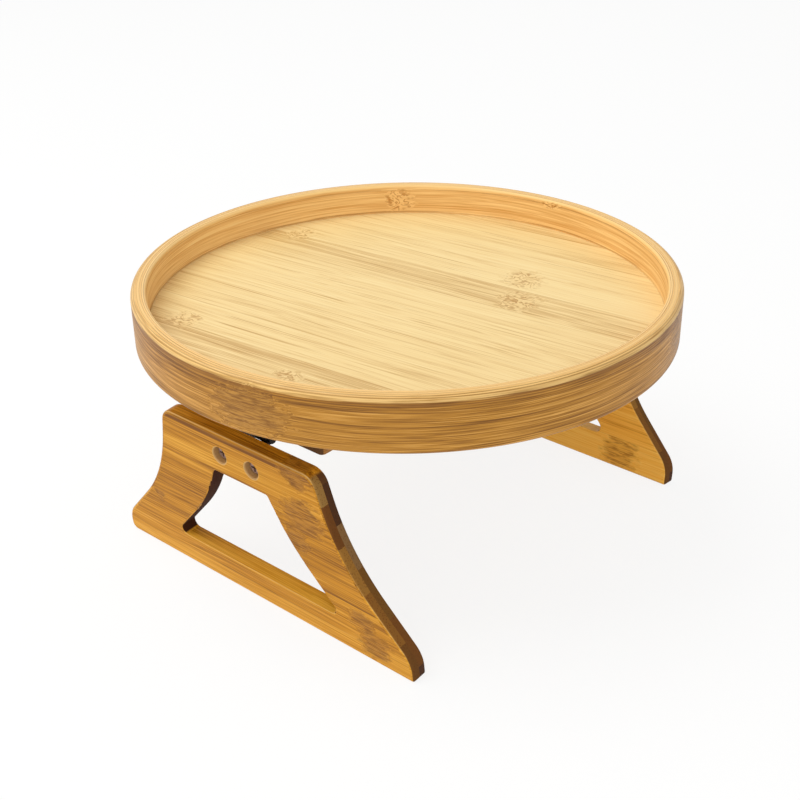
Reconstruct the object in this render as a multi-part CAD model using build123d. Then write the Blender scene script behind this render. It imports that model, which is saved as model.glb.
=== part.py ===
from build123d import *
import math
import os

# Sofa arm tray: a round bamboo tray that turns on a block, and two sprung clip legs that hold the arm.
# Millimetres, +Z up. The origin is on the tray's axis, level with the lowest edge of the clip legs.
# X runs along the legs, -Y is the near side. The far side is the near side's mirror image.

# Tray
tray_diameter = 250.0
rim_height = 25.2
rim_wall = 7.0
rim_ply_count = 3
rim_glue_gap = 0.04
rim_top_outer_radius = 2.6
rim_top_inner_radius = 1.6
rim_bottom_radius = 2.0
tray_depth = 15.5
floor_thickness = 8.0
floor_fit = 0.10

# Clip legs, drawn flat: width along X, heights up from the foot, drops down from the top
leg_foot_width = 181.0
leg_top_width = 91.8
leg_height = 86.1
leg_thickness = 8.0
leg_lean_degrees = 6.0
leg_waist_half_width = 55.4
leg_waist_drop = 38.7
leg_waist_radius = 95.0
leg_side_height = 4.447
leg_toe_radius = 14.0
leg_shoulder_radius = 7.5
leg_near_foot_radius = 3.5
leg_far_foot_radius = 1.0
leg_edge_radius = 1.2
window_top_width = 32.6
window_top_drop = 21.2
window_knee_half_width = 24.9
window_knee_height_share = 0.6134
window_knee_rounding_share = 0.773
window_sill_width = 105.6
window_sill_height = 15.4
window_top_radius = 1.5
window_sill_radius = 3.0
window_edge_radius = 0.6

# Block under the tray that carries the hinges
block_width = 85.2
block_length = 204.0
block_thickness = 10.8
block_corner_radius = 2.5
block_edge_radius = 1.0

# Sprung hinges
hinge_centre_x = -1.0
hinge_setback = 2.9
hinge_above_leg = 0.0
hinge_inset = 0.9
leaf_thickness = 1.2
leaf_reach = 18.5
leaf_corner_radius = 2.0
knuckle_radius = 2.5
knuckle_length = 3.8
knuckle_gap = 0.2
spring_bay = 11.0
bay_end_margin = 2.0
bay_corner_radius = 1.5
pin_radius = 1.3
pin_clearance = 0.05
pin_head_radius = 2.1
pin_head_length = 0.8
pin_head_gap = 0.1
wire_diameter = 1.0
wire_contact_gap = 0.05
coil_pitch = 1.55
coil_turns = 6
spring_arm_length = 13.0

# Hinge screws
screw_spacing = 19.5
screw_distance = 11.3
leg_screw_radius = 1.5
leg_screw_hole_clearance = 0.2
leg_screw_head_radius = 3.4
leg_screw_head_height = 2.0
leg_screw_well_radius = 3.9
leg_screw_well_depth = 4.2
leg_screw_well_chamfer = 0.5
leg_screw_tip = 0.6
cross_slot_width = 0.9
cross_slot_length = 4.0
cross_slot_depth = 1.1
nut_across_flats = 5.5
nut_thickness = 1.8
nut_clearance = 0.05
block_screw_radius = 1.3
block_screw_head_radius = 3.0
block_screw_head_height = 1.7
block_screw_head_land = 0.3
block_screw_length = 9.0
block_screw_point_length = 2.5
block_screw_recess = 0.1
block_screw_clearance = 0.06

# Tray pivot
glide_radius = 30.0
glide_thickness = 3.0
glide_edge_radius = 0.6
bolt_shoulder_radius = 4.0
bolt_running_clearance = 0.06
bolt_head_radius = 6.5
bolt_head_height = 2.6
bolt_head_edge = 0.5
bolt_socket_across_flats = 4.0
bolt_socket_depth = 1.5
bolt_thread_radius = 3.0
bolt_thread_length = 5.0
bolt_thread_chamfer = 0.6
bolt_well_radius = 10.0
bolt_well_depth = 5.8
flat_washer_radius = 8.5
flat_washer_thickness = 1.0
spring_washer_radius = 7.2
spring_washer_thickness = 0.8
spring_washer_height = 1.4
washer_running_gap = 0.05
insert_radius = 4.7
insert_rib_radius = 5.3
insert_rib_count = 3
insert_rib_share = 0.55
insert_length = 6.0
insert_flange_radius = 8.0
insert_flange_thickness = 1.2
insert_clearance = 0.05

# One length by which every cut runs past the material
overrun = 2.0

# Places worked out from the sizes above
lean = math.radians(leg_lean_degrees)
tray_radius = tray_diameter / 2
rim_inner_radius = tray_radius - rim_wall
# The hinge height puts the rounded outer foot edge of the leaning leg at height zero
hinge_to_foot = leg_height + hinge_above_leg
foot_out = hinge_setback + leg_thickness - leg_edge_radius
foot_down = hinge_to_foot - leg_edge_radius
hinge_z = foot_out * math.sin(lean) + foot_down * math.cos(lean) + leg_edge_radius
block_bottom_z = hinge_z + hinge_setback
block_top_z = block_bottom_z + block_thickness
floor_bottom_z = block_top_z + glide_thickness
floor_top_z = floor_bottom_z + floor_thickness
rim_top_z = floor_top_z + tray_depth
# The hinge axis lies inside the end of the block; the near side is at negative Y
hinge_y = -(block_length / 2 - hinge_inset)
leg_inner_y = hinge_y - hinge_setback
leg_outer_y = leg_inner_y - leg_thickness
leg_foot_z = hinge_z - hinge_to_foot
leg_waist_height = leg_height - leg_waist_drop
window_top_height = leg_height - window_top_drop
window_rise = window_top_height - window_sill_height
window_knee_height = window_sill_height + window_rise * window_knee_height_share
hinge_axis = Axis((0, hinge_y, hinge_z), (1, 0, 0))
hinge_width = 4 * knuckle_length + 2 * knuckle_gap + spring_bay
screw_xs = (hinge_centre_x - screw_spacing / 2, hinge_centre_x + screw_spacing / 2)
screw_z = hinge_z - screw_distance
coil_radius = hinge_setback - wire_diameter / 2 - wire_contact_gap
wire_radius = wire_diameter / 2
# Stack of the pivot inside the block's well, from the well's ceiling down
well_ceiling_z = block_bottom_z + bolt_well_depth
flat_washer_bottom_z = well_ceiling_z - flat_washer_thickness
spring_washer_bottom_z = flat_washer_bottom_z - spring_washer_height
bolt_head_bottom_z = spring_washer_bottom_z - washer_running_gap - bolt_head_height


def save(solid, node):
    """Write one named piece as a STEP file of its own."""
    solid.label = node
    export_step(solid, f"parts/{node}.step")


def ring(inner_radius, outer_radius, bottom_z, top_z):
    """A plain ring about the tray's axis."""
    height = top_z - bottom_z
    outer = Cylinder(outer_radius, height, align=(Align.CENTER, Align.CENTER, Align.MIN))
    bore = Cylinder(inner_radius, height, align=(Align.CENTER, Align.CENTER, Align.MIN))
    return Pos(0, 0, bottom_z) * (outer - bore)


def disc(radius, bottom_z, top_z):
    """A plain disc about the tray's axis."""
    body = Cylinder(radius, top_z - bottom_z, align=(Align.CENTER, Align.CENTER, Align.MIN))
    return Pos(0, 0, bottom_z) * body


def rim_section():
    """Section of the whole hoop in the XZ plane, with its rounded top and lower edges."""
    centre = Pos(tray_radius - rim_wall / 2, rim_top_z - rim_height / 2)
    section = Plane.XZ * centre * Rectangle(rim_wall, rim_height)
    outer_side = section.vertices().group_by(Axis.X)[-1].sort_by(Axis.Z)
    section = fillet(outer_side[0], rim_bottom_radius)
    section = fillet(section.vertices().group_by(Axis.Z)[-1].sort_by(Axis.X)[-1], rim_top_outer_radius)
    return fillet(section.vertices().group_by(Axis.Z)[-1].sort_by(Axis.X)[0], rim_top_inner_radius)


def rim_plies():
    """The hoop's bent plies, from the inside out, with a glue line between them."""
    section = rim_section()
    ply = (rim_wall - (rim_ply_count - 1) * rim_glue_gap) / rim_ply_count
    plies = []
    for number in range(rim_ply_count):
        start = rim_inner_radius + number * (ply + rim_glue_gap)
        band = Plane.XZ * Pos(start + ply / 2, rim_top_z - rim_height / 2) * Rectangle(ply, rim_height + overrun)
        plies.append(revolve(section & band, Axis.Z))
    return plies


def screw_insert():
    """Ribbed threaded insert, flush with the floor's underside."""
    top_z = floor_bottom_z + insert_length
    flange_top = floor_bottom_z + insert_flange_thickness
    body = disc(insert_flange_radius, floor_bottom_z, flange_top)
    body += disc(insert_radius, floor_bottom_z, top_z)
    rib_pitch = (insert_length - insert_flange_thickness) / insert_rib_count
    for number in range(insert_rib_count):
        rib_z = flange_top + number * rib_pitch
        body += disc(insert_rib_radius, rib_z, rib_z + rib_pitch * insert_rib_share)
    bore = disc(bolt_thread_radius + insert_clearance, floor_bottom_z - overrun, top_z + overrun)
    return body - bore


def tray_floor():
    """Flat disc inside the hoop, with the blind seat of the insert in its underside."""
    body = disc(rim_inner_radius - floor_fit, floor_bottom_z, floor_top_z)
    seat = disc(insert_rib_radius + insert_clearance, floor_bottom_z - overrun,
                floor_bottom_z + insert_length + insert_clearance)
    seat += disc(insert_flange_radius + insert_clearance, floor_bottom_z - overrun,
                 floor_bottom_z + insert_flange_thickness + insert_clearance)
    return body - seat


def pivot_bolt():
    """Low-headed shoulder bolt: head in the block's well, thread in the floor's insert."""
    head_bottom = bolt_head_bottom_z
    head_top = head_bottom + bolt_head_height
    head = disc(bolt_head_radius, head_bottom, head_top)
    head = fillet(head.edges().sort_by(Axis.Z)[0], bolt_head_edge)
    shoulder = disc(bolt_shoulder_radius, head_top, floor_bottom_z)
    thread = disc(bolt_thread_radius, floor_bottom_z, floor_bottom_z + bolt_thread_length)
    thread = chamfer(thread.edges().sort_by(Axis.Z)[-1], bolt_thread_chamfer)
    socket_sketch = RegularPolygon(bolt_socket_across_flats / 2, 6, major_radius=False)
    socket = Pos(0, 0, head_bottom - overrun) * extrude(socket_sketch, overrun + bolt_socket_depth)
    return head + shoulder + thread - socket


def spring_washer():
    """Conical washer that keeps the pivot tight: its rim on the flat washer, its bore over the bolt head."""
    low = bolt_head_bottom_z + bolt_head_height + washer_running_gap
    high = low + spring_washer_height
    inner = bolt_shoulder_radius + 2 * bolt_running_clearance
    rise = spring_washer_height - spring_washer_thickness
    points = [(inner, low), (spring_washer_radius, low + rise), (spring_washer_radius, high),
              (inner, high - rise)]
    section = Plane.XZ * make_face(Polyline(*points, close=True))
    return revolve(section, Axis.Z)


def flat_washer():
    """Flat washer against the ceiling of the block's well."""
    bore = bolt_shoulder_radius + bolt_running_clearance
    return ring(bore, flat_washer_radius, flat_washer_bottom_z, well_ceiling_z)


def glide_washer():
    """Slippery disc between the block and the tray floor."""
    bore = bolt_shoulder_radius + bolt_running_clearance
    body = ring(bore, glide_radius, block_top_z, floor_bottom_z)
    rim_edges = body.edges().filter_by(GeomType.CIRCLE).group_by(SortBy.RADIUS)[-1]
    return fillet(rim_edges, glide_edge_radius)


def hinge_leaf(along, out, knuckle_starts):
    """One leaf of a hinge about the near axis, seen in the YZ plane.

    along and out are unit directions: the way the leaf runs from the barrel, and the way to the wood
    that it is screwed to. knuckle_starts are the X places where its knuckles begin.
    """
    def place(distance, height):
        return (hinge_y + along[0] * distance + out[0] * height, hinge_z + along[1] * distance + out[1] * height)

    def slab(points, start_x, length):
        return Pos(start_x, 0, 0) * extrude(Plane.YZ * make_face(Polyline(*points, close=True)), length)

    left_x = hinge_centre_x - hinge_width / 2
    inner_face = hinge_setback - leaf_thickness
    plate_points = [place(hinge_setback, inner_face), place(hinge_setback, hinge_setback),
                    place(leaf_reach, hinge_setback), place(leaf_reach, inner_face)]
    leaf = slab(plate_points, left_x, hinge_width)
    run = Axis((0, 0, 0), (0, along[0], along[1]))
    thickness_edges = leaf.edges().filter_by(Axis((0, 0, 0), (0, out[0], out[1])))
    leaf = fillet(thickness_edges.sort_by(run)[-2:], leaf_corner_radius)
    # The spring's bay is an open notch in the middle of the leaf
    bay_end = spring_arm_length + bay_end_margin
    bay_points = [place(0, inner_face - overrun), place(0, hinge_setback + overrun),
                  place(bay_end, hinge_setback + overrun), place(bay_end, inner_face - overrun)]
    bay = slab(bay_points, hinge_centre_x - spring_bay / 2, spring_bay)
    bay_edges = bay.edges().filter_by(Axis((0, 0, 0), (0, out[0], out[1])))
    leaf -= fillet(bay_edges.sort_by(run)[-2:], bay_corner_radius)
    # Each knuckle is a rolled barrel with a strap that runs into the plate
    strap_points = [place(0, 0), place(0, knuckle_radius), place(hinge_setback, hinge_setback),
                    place(hinge_setback, inner_face)]
    barrel_sketch = Plane.YZ * Pos(hinge_y, hinge_z) * Circle(knuckle_radius)
    bore_sketch = Plane.YZ * Pos(hinge_y, hinge_z) * Circle(pin_radius + pin_clearance)
    for start_x in knuckle_starts:
        leaf += slab(strap_points, start_x, knuckle_length)
        leaf += Pos(start_x, 0, 0) * extrude(barrel_sketch, knuckle_length)
    bore = Pos(left_x - overrun, 0, 0) * extrude(bore_sketch, hinge_width + 2 * overrun)
    return leaf - bore


def leaf_hole(along, out, x, radius):
    """Round hole through a leaf at one of its screws."""
    centre = Vector(x, hinge_y + along[0] * screw_distance, hinge_z + along[1] * screw_distance)
    direction = Vector(0, out[0], out[1])
    start = centre + direction * (hinge_setback - leaf_thickness - overrun)
    return extrude(Plane(origin=start, z_dir=direction) * Circle(radius), leaf_thickness + 2 * overrun)


def profile_solid(points, plane):
    """Solid turned about the plane's normal from (radius, height) points."""
    section = Plane.XZ * make_face(Polyline(*points, close=True))
    return plane.location * revolve(section, Axis.Z)


def block_screw(x, gap):
    """Countersunk wood screw through the fixed leaf into the block; gap widens it into its own hole."""
    head_z = block_bottom_z - leaf_thickness + block_screw_recess
    plane = Plane(origin=(x, hinge_y + screw_distance, head_z), z_dir=(0, 0, 1))
    shank = block_screw_radius + gap
    head = block_screw_head_radius + gap
    points = [(0, -gap), (head, -gap), (head, block_screw_head_land),
              (shank, block_screw_head_height + gap),
              (shank, block_screw_length - block_screw_point_length + gap), (0, block_screw_length + gap)]
    return profile_solid(points, plane)


def block_screw_mouth(x):
    """Opening below a countersunk head, down through the face of the leaf."""
    radius = block_screw_head_radius + block_screw_clearance
    start_z = block_bottom_z - leaf_thickness - overrun
    return Pos(x, hinge_y + screw_distance, start_z) * Cylinder(
        radius, overrun + block_screw_recess, align=(Align.CENTER, Align.CENTER, Align.MIN))


def cross_slot(plane):
    """Cross-shaped driver recess cut from the plane into a screw head."""
    arms = Rectangle(cross_slot_length, cross_slot_width) + Rectangle(cross_slot_width, cross_slot_length)
    return extrude(plane * arms, -cross_slot_depth, both=True)


def leg_screw(x):
    """Pan-head machine screw through the leg and the moving leaf, with the leg upright."""
    head_under_y = leg_outer_y + leg_screw_well_depth
    grip = leg_inner_y + leaf_thickness + nut_thickness + leg_screw_tip - head_under_y
    plane = Plane(origin=(x, head_under_y, screw_z), x_dir=(1, 0, 0), z_dir=(0, 1, 0))
    shank = extrude(plane * Circle(leg_screw_radius), grip)
    head = extrude(plane * Circle(leg_screw_head_radius), -leg_screw_head_height)
    head = fillet(head.edges().filter_by(GeomType.CIRCLE).sort_by(Axis.Y)[0], leg_screw_head_height / 2)
    face = Plane(origin=(x, head_under_y - leg_screw_head_height, screw_z), x_dir=(1, 0, 0), z_dir=(0, -1, 0))
    return shank + head - cross_slot(face)


def leg_screw_well(x):
    """Chamfered well for a screw head in the leg's outer face, with the screw's hole behind it."""
    plane = Plane(origin=(x, leg_outer_y, screw_z), x_dir=(1, 0, 0), z_dir=(0, 1, 0))
    rim = leg_screw_well_radius + leg_screw_well_chamfer
    hole = leg_screw_radius + leg_screw_hole_clearance
    points = [(0, -overrun), (rim, -overrun), (rim, 0), (leg_screw_well_radius, leg_screw_well_chamfer),
              (leg_screw_well_radius, leg_screw_well_depth), (hole, leg_screw_well_depth),
              (hole, leg_thickness + overrun), (0, leg_thickness + overrun)]
    return profile_solid(points, plane)


def leg_nut(x):
    """Thin hexagon nut on the moving leaf, with the leg upright."""
    plane = Plane(origin=(x, leg_inner_y + leaf_thickness, screw_z), x_dir=(1, 0, 0), z_dir=(0, 1, 0))
    hexagon = RegularPolygon(nut_across_flats / 2, 6, major_radius=False)
    return extrude(plane * (hexagon - Circle(leg_screw_radius + nut_clearance)), nut_thickness)


def toe_corner_height():
    """Height where the leg's straight side and its sloping upper edge would meet, above the rounded toe."""
    toe_x = leg_foot_width / 2 - leg_toe_radius
    across = toe_x - leg_waist_half_width
    down = leg_waist_height - leg_side_height
    slope = math.atan2(down, across) - math.asin(leg_toe_radius / math.hypot(across, down))
    return leg_side_height + leg_toe_radius * math.tan((math.pi / 2 - slope) / 2)


def leg_outline():
    """Outer shape of a leg, from the left foot round to the right foot and back."""
    foot = leg_foot_width / 2
    top = leg_top_width / 2
    toe = toe_corner_height()
    corners = [(-foot, 0), (foot, 0), (foot, toe), (leg_waist_half_width, leg_waist_height),
               (top, leg_height), (-top, leg_height), (-leg_waist_half_width, leg_waist_height),
               (-foot, toe)]
    radii = [leg_near_foot_radius, leg_far_foot_radius, leg_toe_radius, leg_waist_radius,
             leg_shoulder_radius, leg_shoulder_radius, leg_waist_radius, leg_toe_radius]
    return make_face(FilletPolyline(*corners, radius=radii, close=True))


def window_knee_radius():
    """Radius that rounds the window's knee over its share of the straight side above it."""
    sill = window_sill_width / 2
    top = window_top_width / 2
    lower = math.atan2(window_knee_height - window_sill_height, sill - window_knee_half_width)
    above = window_top_height - window_knee_height
    inward = window_knee_half_width - top
    turn = math.atan2(above, inward) - lower
    return math.hypot(above, inward) * window_knee_rounding_share / math.tan(turn / 2)


def window_outline():
    """The leg's window, wide at the sill and narrow at the top."""
    sill = window_sill_width / 2
    top = window_top_width / 2
    knee_radius = window_knee_radius()
    corners = [(-sill, window_sill_height), (sill, window_sill_height),
               (window_knee_half_width, window_knee_height), (top, window_top_height),
               (-top, window_top_height), (-window_knee_half_width, window_knee_height)]
    radii = [window_sill_radius, window_sill_radius, knee_radius,
             window_top_radius, window_top_radius, knee_radius]
    return make_face(FilletPolyline(*corners, radius=radii, close=True))


def leg():
    """The near leg, upright, with its window, rounded edges and screw wells."""
    plane = Plane(origin=(0, leg_inner_y, leg_foot_z), x_dir=(1, 0, 0), z_dir=(0, -1, 0))
    board = extrude(plane * leg_outline(), leg_thickness)
    flat_edges = board.edges().group_by(Axis.Y)
    board = fillet(flat_edges[0] + flat_edges[-1], leg_edge_radius)
    window = extrude(plane * window_outline(), leg_thickness)
    board -= window
    inner_rim = board.faces().sort_by(Axis.Y)[-1].inner_wires()[0].edges()
    outer_rim = board.faces().sort_by(Axis.Y)[0].inner_wires()[0].edges()
    board = fillet(inner_rim + outer_rim, window_edge_radius)
    for x in screw_xs:
        board -= leg_screw_well(x)
    return board


def block():
    """The wooden block, with the pivot's well and hole and the holes of the leaf screws."""
    body = Pos(0, 0, block_bottom_z) * Box(
        block_width, block_length, block_thickness, align=(Align.CENTER, Align.CENTER, Align.MIN))
    body = fillet(body.edges().filter_by(Axis.Z), block_corner_radius)
    body = fillet(body.faces().sort_by(Axis.Z)[0].edges(), block_edge_radius)
    body -= disc(bolt_shoulder_radius + bolt_running_clearance, block_bottom_z, block_top_z + overrun)
    body -= disc(bolt_well_radius, block_bottom_z - overrun, well_ceiling_z)
    for x in screw_xs:
        hole = block_screw(x, block_screw_clearance)
        body -= hole
        body -= mirror(hole, about=Plane.XZ)
    return body


def biarc(start, start_tangent, end, end_tangent):
    """Two arcs that join two points and keep both tangents."""
    chord = end - start
    both = start_tangent + end_tangent
    square = both.dot(both) - 4
    middle = -2 * chord.dot(both)
    reach = (-middle - math.sqrt(middle * middle - 4 * square * chord.dot(chord))) / (2 * square)
    first = start + start_tangent * reach
    last = end - end_tangent * reach
    joint = (first + last) * 0.5
    return [tangent_arc(start, first, joint), tangent_arc(joint, last, end)]


def tangent_arc(start, corner, end):
    """The arc from start to end that touches both lines to the corner between them."""
    half_chord = (end - start).length / 2
    reach = (corner - start).length
    toward = (start + end) * 0.5 - corner
    depth = reach * (reach - half_chord) / toward.length
    return ThreePointArc(start, corner + toward.normalized() * depth, end)


def spring_path():
    """Line of the near spring's wire: up the leg's face, round the pin, and along under the block."""
    sweep_angle = 2 * math.pi * coil_turns + math.pi / 2 + lean
    steps = round(sweep_angle / (math.pi / 2))
    start_angle = math.pi + lean
    start_x = hinge_centre_x - coil_pitch * sweep_angle / (4 * math.pi)
    slope = coil_pitch / (2 * math.pi * coil_radius)
    points = []
    tangents = []
    for step in range(steps + 1):
        turned = sweep_angle * step / steps
        angle = start_angle - turned
        x = start_x + coil_pitch * turned / (2 * math.pi)
        y = hinge_y + coil_radius * math.cos(angle)
        z = hinge_z + coil_radius * math.sin(angle)
        points.append(Vector(x, y, z))
        end_step = step in (0, steps)
        climb = 0 if end_step else slope
        tangents.append(Vector(climb, math.sin(angle), -math.cos(angle)).normalized())
    edges = [Line(points[0] - tangents[0] * spring_arm_length, points[0])]
    for step in range(steps):
        edges += biarc(points[step], tangents[step], points[step + 1], tangents[step + 1])
    edges.append(Line(points[-1], points[-1] + tangents[-1] * spring_arm_length))
    return Wire(edges)


def least_gap(path, samples_per_turn=48):
    """Least clear distance between two turns of the wire, measured on points along it."""
    turn = 2 * math.pi * coil_radius
    count = int(path.length / turn * samples_per_turn)
    points = [path.position_at(number / count) for number in range(count + 1)]
    step = path.length / count
    apart = int(turn / 2 / step)
    return min(
        (points[i] - points[j]).length
        for i in range(len(points))
        for j in range(i + apart, len(points))
    ) - wire_diameter


def hinge_spring():
    """Torsion spring of the near hinge, one unbroken round wire."""
    path = spring_path()
    print(f"least gap of the spring's wire to itself: {least_gap(path):.3f} mm")
    section = Plane(origin=path.position_at(0), z_dir=path.tangent_at(0)) * Circle(wire_radius)
    return sweep(section, path=path)


def hinge_pin():
    """Headed pin through the knuckles of the near hinge."""
    length = hinge_width + 2 * pin_head_gap
    left_x = hinge_centre_x - length / 2
    plane = Plane(origin=(left_x, hinge_y, hinge_z), z_dir=(1, 0, 0))
    pin = extrude(plane * Circle(pin_radius), length)
    head = extrude(plane * Circle(pin_head_radius), -pin_head_length)
    far_plane = Plane(origin=(left_x + length, hinge_y, hinge_z), z_dir=(1, 0, 0))
    far_head = extrude(far_plane * Circle(pin_head_radius), pin_head_length)
    return pin + head + far_head


def near_side():
    """Every piece of the near side, in the leaning pose that the leg rests in."""
    left_x = hinge_centre_x - hinge_width / 2
    right_x = hinge_centre_x + hinge_width / 2
    step = knuckle_length + knuckle_gap
    moving_starts = (left_x, right_x - knuckle_length)
    fixed_starts = (left_x + step, right_x - knuckle_length - step)
    moving_leaf = hinge_leaf((0, -1), (-1, 0), moving_starts)
    fixed_leaf = hinge_leaf((1, 0), (0, 1), fixed_starts)
    for x in screw_xs:
        moving_leaf -= leaf_hole((0, -1), (-1, 0), x, leg_screw_radius + leg_screw_hole_clearance)
        fixed_leaf -= block_screw(x, block_screw_clearance)
        fixed_leaf -= block_screw_mouth(x)
    moving = {
        "leg": leg(),
        "moving_leaf": moving_leaf,
        "leg_screws": Compound([leg_screw(x) for x in screw_xs]),
        "leg_nuts": Compound([leg_nut(x) for x in screw_xs]),
    }
    pieces = {name: piece.rotate(hinge_axis, leg_lean_degrees) for name, piece in moving.items()}
    pieces["fixed_leaf"] = fixed_leaf
    pieces["hinge_pin"] = hinge_pin()
    pieces["hinge_spring"] = hinge_spring()
    pieces["bar_screws"] = Compound([block_screw(x, 0) for x in screw_xs])
    return pieces


def main():
    """Build every piece and write it."""
    os.makedirs("parts", exist_ok=True)
    inner_ply, middle_ply, outer_ply = rim_plies()
    save(inner_ply, "rim_inner_ply")
    save(middle_ply, "rim_middle_ply")
    save(outer_ply, "rim_outer_ply")
    save(tray_floor(), "tray_floor")
    save(screw_insert(), "pivot_insert")
    save(pivot_bolt(), "pivot_bolt")
    save(flat_washer(), "pivot_flat_washer")
    save(spring_washer(), "pivot_spring_washer")
    save(glide_washer(), "glide_washer")
    save(block(), "crossbar")
    for name, piece in near_side().items():
        save(piece, f"near_{name}")
        save(mirror(piece, about=Plane.XZ), f"far_{name}")
    print(f"hinge axis at y {hinge_y:.3f}, z {hinge_z:.3f}")
    print(f"block underside {block_bottom_z:.3f}, floor top {floor_top_z:.3f}, rim top {rim_top_z:.3f}")


main()
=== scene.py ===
import logging
import math
from dataclasses import dataclass, replace
from enum import Enum

import bmesh
import bpy
from mathutils import Matrix, Vector


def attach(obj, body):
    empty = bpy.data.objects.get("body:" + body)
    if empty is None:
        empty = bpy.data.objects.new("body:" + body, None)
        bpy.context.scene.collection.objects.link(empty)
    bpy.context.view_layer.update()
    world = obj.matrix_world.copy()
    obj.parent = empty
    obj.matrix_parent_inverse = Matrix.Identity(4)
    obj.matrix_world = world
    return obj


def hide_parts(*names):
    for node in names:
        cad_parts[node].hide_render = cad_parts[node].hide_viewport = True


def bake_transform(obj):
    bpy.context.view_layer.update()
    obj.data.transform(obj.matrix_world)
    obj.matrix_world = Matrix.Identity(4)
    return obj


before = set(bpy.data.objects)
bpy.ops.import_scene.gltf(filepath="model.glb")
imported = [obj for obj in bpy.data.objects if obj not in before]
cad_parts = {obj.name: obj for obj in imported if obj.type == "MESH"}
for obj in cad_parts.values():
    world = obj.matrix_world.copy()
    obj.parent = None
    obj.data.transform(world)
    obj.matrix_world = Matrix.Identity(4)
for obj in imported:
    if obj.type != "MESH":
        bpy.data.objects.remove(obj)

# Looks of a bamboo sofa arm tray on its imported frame, in metres with +Z up.
# Sizes of wood, plies, wire and patterns are in millimetres and are turned to metres where they are used.
# TOUCH is in metres: points closer than that are one. BEYOND is farther than any piece reaches.

LOG = logging.getLogger("sofa_arm_tray")
MM = 0.001
HINGE_Y = 101.1
HINGE_Z = 86.649
TOUCH = 1e-6
BEYOND = 1000.0
BMesh = bmesh.types.BMesh
Material = bpy.types.Material
Node = bpy.types.Node
Piece = bpy.types.Object
Tree = bpy.types.NodeTree
Patterns = dict[str, Node]


class Body(Enum):
    """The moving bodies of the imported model."""

    TRAY = "tray"
    BAR = "bar"
    NEAR_LEG = "near_leg_body"
    FAR_LEG = "far_leg_body"


class Side(Enum):
    """The two clip legs, with the sign of Y on which each stands."""

    NEAR = -1
    FAR = 1

    @property
    def word(self) -> str:
        """The side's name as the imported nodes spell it."""
        return self.name.lower()

    @property
    def leg_body(self) -> Body:
        """The body that the side's leg rides on."""
        return Body.NEAR_LEG if self is Side.NEAR else Body.FAR_LEG


def linear(hex_colour: str) -> tuple[float, float, float, float]:
    """Turns an sRGB hex colour into the linear values that a shader takes.

    Args:
        hex_colour: Six hex digits, with or without a leading hash.

    Returns:
        Red, green, blue and an alpha of one.
    """
    digits = hex_colour.lstrip("#")
    values = [int(digits[place:place + 2], 16) / 255 for place in (0, 2, 4)]
    red, green, blue = (c / 12.92 if c <= 0.04045 else ((c + 0.055) / 1.055) ** 2.4 for c in values)
    return red, green, blue, 1.0


def add(tree: Tree, kind: str, inputs: dict | None = None, **settings: object) -> Node:
    """Adds one node to a material, sets it and links it.

    Args:
        tree: The material's node tree.
        kind: The node's type name, without its ShaderNode prefix.
        inputs: Values, nodes or output sockets by input name or number; a node stands for its first output.
        settings: Properties of the node itself.

    Returns:
        The new node.
    """
    made = tree.nodes.new(f"ShaderNode{kind}")
    for name, value in settings.items():
        setattr(made, name, value)
    for key, value in (inputs or {}).items():
        if isinstance(value, Node):
            value = value.outputs[0]
        if isinstance(value, bpy.types.NodeSocket):
            tree.links.new(value, made.inputs[key])
        else:
            made.inputs[key].default_value = value
    return made


def blank_material(name: str) -> tuple[Material, Tree, Node]:
    """Makes an empty material that ends in one principled shader.

    Args:
        name: The finish's name.

    Returns:
        The material, its node tree and its shader node.
    """
    material = bpy.data.materials.new(name)
    material.use_nodes = True
    tree = material.node_tree
    tree.nodes.clear()
    shader = add(tree, "BsdfPrincipled")
    add(tree, "OutputMaterial", {"Surface": shader})
    return material, tree, shader


class GrainFrame(Enum):
    """How a piece's grain lies: in straight strips, or bent round the tray's axis."""

    BOARD = "board"
    HOOP = "hoop"


class CurlStyle(Enum):
    """How the fibres look at a node: chopped into short waves, or curled into thin rings."""

    CHOPPED = "chopped"
    RINGED = "ringed"


# The bamboo's patterns: fibres and curls by their length and width in millimetres, rates per millimetre
# along, across and through the wood, and the rest as shares.
# Real fibres are 0.2 to 0.3 mm wide, too fine to show at this distance, so they are drawn twice as coarse.
LAYER_STAGGER = 0.45
STRIP_SHIFT = (430.0, 60.0, 60.0)
SEAM_HALF = 0.3
OUT_OF_REACH = 9.0
PATCH_RATE = (0.16, 0.35, 0.35)
PATCH_RAGGED = 1.3
PATCH_EDGE = (1.15, 1.75)
CURL_SIZES = {CurlStyle.CHOPPED: (8.0, 0.7), CurlStyle.RINGED: (7.0, 4.0)}
RING_COUNT = 34.0
WANDER_RATE = (0.009, 0.04, 0.04)
BESIDE_RATE = (0.12, 0.16, 0.16)
SWAY = 4.0
BUNDLE_EDGE = 0.15
SEAM_SHARE = 0.3
EDGE_FACING = 0.6
WINDOW_SLOPE = 0.4
LACQUER_IOR = 1.5
BROAD_FIBRE = (150.0, 2.6)
DRIFT_FIBRE = (320.0, 13.0)
END_DOT_RATE = (0.02, 1.3, 1.3)
CUT_FACING = (0.42, 0.66)


@dataclass(frozen=True)
class CaneNode:
    """One node of the cane: its centre and half sizes along and across the grain, in millimetres.

    It ends at the glue lines of its strip, at low and high across the grain.
    """

    along: float
    across: float
    half_length: float
    half_width: float
    low: float = -BEYOND
    high: float = BEYOND


@dataclass(frozen=True)
class GrainTone:
    """The colours of one bamboo finish, as sRGB hex."""

    light: str
    base: str
    dark: str
    node: str
    node_light: str
    end_light: str = "#A98450"
    end_dark: str = "#4A2A10"
    end_dot: str = "#5E3214"
    # edge is the colour of the painted highlight on rounded edges.
    edge: str = "#E8C27C"


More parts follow.
